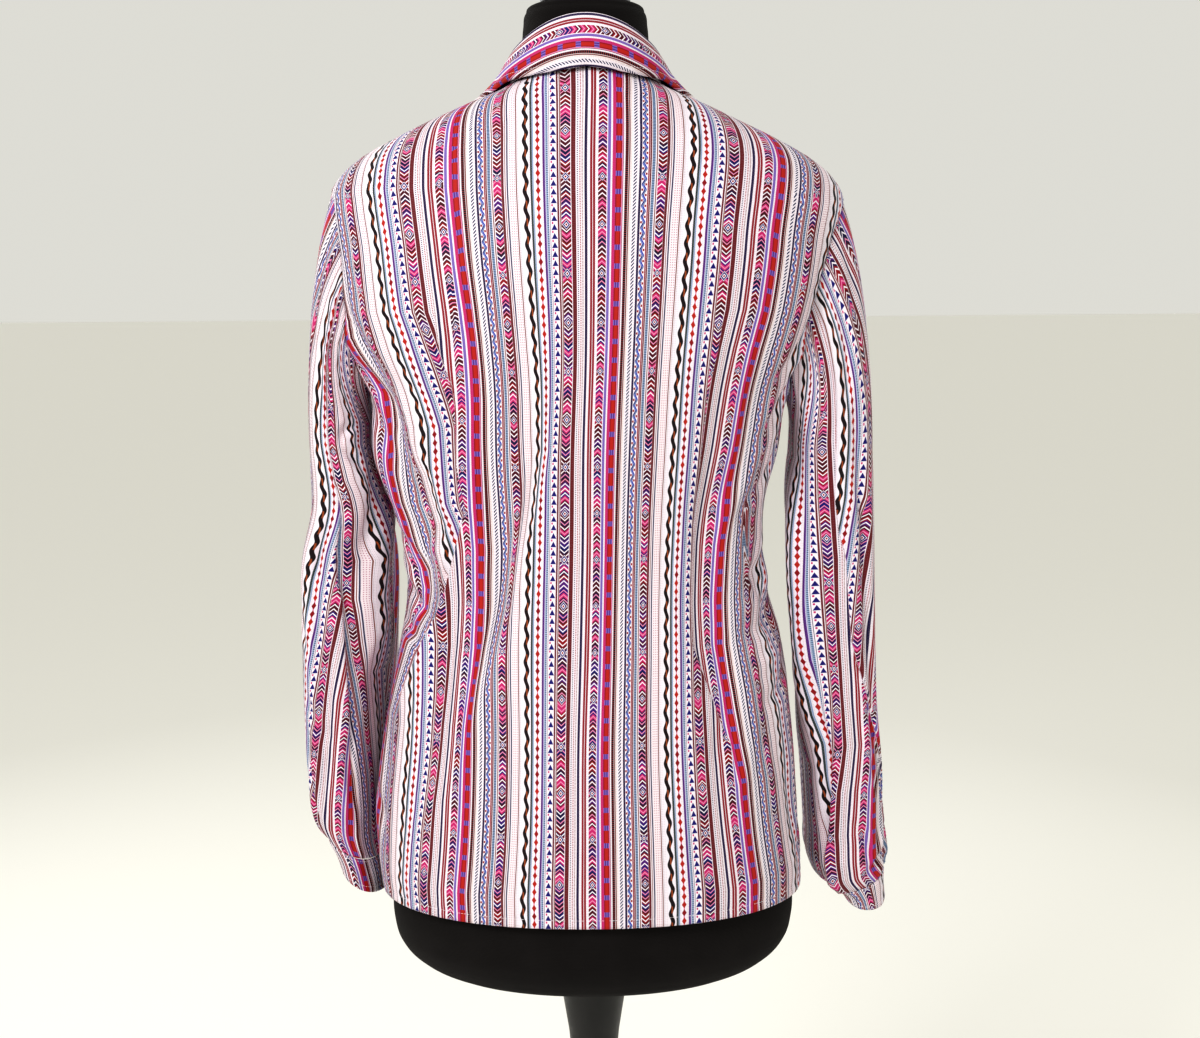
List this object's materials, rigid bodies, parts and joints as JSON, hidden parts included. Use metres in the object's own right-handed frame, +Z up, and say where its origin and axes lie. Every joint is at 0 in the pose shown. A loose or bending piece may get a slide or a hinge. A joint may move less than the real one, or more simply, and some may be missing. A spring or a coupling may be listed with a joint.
{
  "type": "blouse on dress form",
  "caption": "Long-sleeved, waisted blouse with a shirt collar in a folk stripe print, worn on a limbless dress form that stands on a round base.",
  "frame": {"origin": "middle of the underside of the stand's base, on the floor", "axes": "+Z up along the stand's pole, -Y towards the front of the blouse, +X towards the wearer's left"},
  "size_m": [0.5044, 0.37, 1.548],
  "materials": {
    "printed_cloth": "light matte plain weave printed with folk stripes",
    "buttons": "pale pearly resin",
    "form_cover": "matte black jersey",
    "neck_cap": "black satin",
    "stand_paint": "black satin paint"
  },
  "bodies": {
    "root": {"back": "printed_cloth", "front_left": "printed_cloth", "front_right": "printed_cloth", "button_band": "printed_cloth", "sleeve_left": "printed_cloth", "sleeve_right": "printed_cloth", "cuff_left": "printed_cloth", "cuff_right": "printed_cloth", "collar_stand": "printed_cloth", "collar": "printed_cloth", "button_1": "buttons", "button_2": "buttons", "button_3": "buttons", "button_4": "buttons", "button_5": "buttons", "button_6": "buttons", "button_7": "buttons", "collar_button": "buttons", "cuff_button_left": "buttons", "cuff_button_right": "buttons", "form_torso": "form_cover", "form_neck_cap": "neck_cap", "stand_socket": "stand_paint", "stand_pole": "stand_paint", "stand_base": "stand_paint"}
  },
  "joints": []
}
